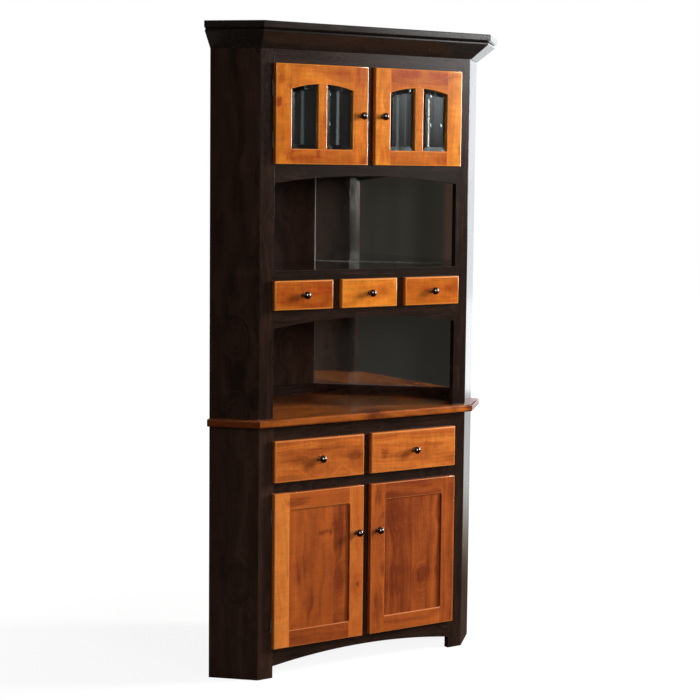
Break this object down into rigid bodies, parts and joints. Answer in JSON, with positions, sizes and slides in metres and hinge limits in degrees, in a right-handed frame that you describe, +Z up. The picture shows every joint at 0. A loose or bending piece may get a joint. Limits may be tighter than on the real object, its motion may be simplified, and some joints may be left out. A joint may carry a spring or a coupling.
{
  "type": "corner hutch",
  "caption": "Tall corner hutch: glazed cabinet over mirrored display spaces and small drawers, on a base cabinet with drawers and panel doors.",
  "frame": {"origin": "on the floor, below the middle of the whole piece's box", "axes": "+X to the right along the front, +Y back into the room's corner, +Z up"},
  "size_m": [1.144, 0.5866, 2.083],
  "materials": {
    "espresso_wood": "dark espresso stain under satin lacquer",
    "honey_maple": "honey-brown stained maple under satin lacquer",
    "counter_maple": "brown stained maple under satin lacquer",
    "drawer_wood": "clear finished",
    "bronze": "dark oil-rubbed bronze",
    "glass": "polished, bevelled",
    "mirror": "silvered plate glass"
  },
  "bodies": {
    "carcass": {"base_arched_rail": "espresso_wood", "base_back_panels": "espresso_wood", "base_drawer_floor": "espresso_wood", "base_floor": "espresso_wood", "base_left_side": "espresso_wood", "base_mullions": "espresso_wood", "base_rails": "espresso_wood", "base_right_side": "espresso_wood", "base_shelf": "espresso_wood", "base_stiles": "espresso_wood", "counter_top": "counter_maple", "crown_caps": "espresso_wood", "crown_mouldings": "espresso_wood", "display_mirrors": "mirror", "drawer_guides": "drawer_wood", "hinge_frame_leaves": "bronze", "hutch_back_panels": "espresso_wood", "hutch_cabinet_floor": "espresso_wood", "hutch_deck": "espresso_wood", "hutch_display_rail": "espresso_wood", "hutch_drawer_floor": "espresso_wood", "hutch_drawer_rail": "espresso_wood", "hutch_left_side": "espresso_wood", "hutch_mullions": "espresso_wood", "hutch_rails": "espresso_wood", "hutch_right_side": "espresso_wood", "hutch_stiles": "espresso_wood", "hutch_top_board": "espresso_wood", "mirror_cleats": "espresso_wood"},
    "upper_left_door": {"upper_left_door_frame": "honey_maple", "upper_left_door_glass": "glass", "upper_left_door_hinges": "bronze", "upper_left_door_knob": "bronze"},
    "upper_right_door": {"upper_right_door_frame": "honey_maple", "upper_right_door_glass": "glass", "upper_right_door_hinges": "bronze", "upper_right_door_knob": "bronze"},
    "base_left_door": {"base_left_door_frame": "honey_maple", "base_left_door_hinges": "bronze", "base_left_door_knob": "bronze", "base_left_door_panel": "honey_maple"},
    "base_right_door": {"base_right_door_frame": "honey_maple", "base_right_door_hinges": "bronze", "base_right_door_knob": "bronze", "base_right_door_panel": "honey_maple"},
    "base_drawer_left": {"base_drawer_left_box": "drawer_wood", "base_drawer_left_front": "honey_maple", "base_drawer_left_knob": "bronze"},
    "base_drawer_right": {"base_drawer_right_box": "drawer_wood", "base_drawer_right_front": "honey_maple", "base_drawer_right_knob": "bronze"},
    "small_drawer_left": {"small_drawer_left_box": "drawer_wood", "small_drawer_left_front": "honey_maple", "small_drawer_left_knob": "bronze"},
    "small_drawer_middle": {"small_drawer_middle_box": "drawer_wood", "small_drawer_middle_front": "honey_maple", "small_drawer_middle_knob": "bronze"},
    "small_drawer_right": {"small_drawer_right_box": "drawer_wood", "small_drawer_right_front": "honey_maple", "small_drawer_right_knob": "bronze"}
  },
  "joints": [
    {"name": "upper_left_door_hinge", "type": "hinge", "parent": "carcass", "child": "upper_left_door", "pos_m": [-0.3655, -0.2268, 1.8035], "axis": [0, 0, -1], "range_deg": [0, 110]},
    {"name": "upper_right_door_hinge", "type": "hinge", "parent": "carcass", "child": "upper_right_door", "pos_m": [0.3655, -0.2268, 1.8035], "axis": [0, 0, 1], "range_deg": [0, 110]},
    {"name": "base_left_door_hinge", "type": "hinge", "parent": "carcass", "child": "base_left_door", "pos_m": [-0.3615, -0.2268, 0.3493], "axis": [0, 0, -1], "range_deg": [0, 110]},
    {"name": "base_right_door_hinge", "type": "hinge", "parent": "carcass", "child": "base_right_door", "pos_m": [0.3615, -0.2268, 0.3493], "axis": [0, 0, 1], "range_deg": [0, 110]},
    {"name": "base_drawer_left_slide", "type": "slide", "parent": "carcass", "child": "base_drawer_left", "axis": [0, -1, 0], "range_m": [0, 0.19]},
    {"name": "base_drawer_right_slide", "type": "slide", "parent": "carcass", "child": "base_drawer_right", "axis": [0, -1, 0], "range_m": [0, 0.19]},
    {"name": "small_drawer_left_slide", "type": "slide", "parent": "carcass", "child": "small_drawer_left", "axis": [0, -1, 0], "range_m": [0, 0.19]},
    {"name": "small_drawer_middle_slide", "type": "slide", "parent": "carcass", "child": "small_drawer_middle", "axis": [0, -1, 0], "range_m": [0, 0.19]},
    {"name": "small_drawer_right_slide", "type": "slide", "parent": "carcass", "child": "small_drawer_right", "axis": [0, -1, 0], "range_m": [0, 0.19]}
  ]
}
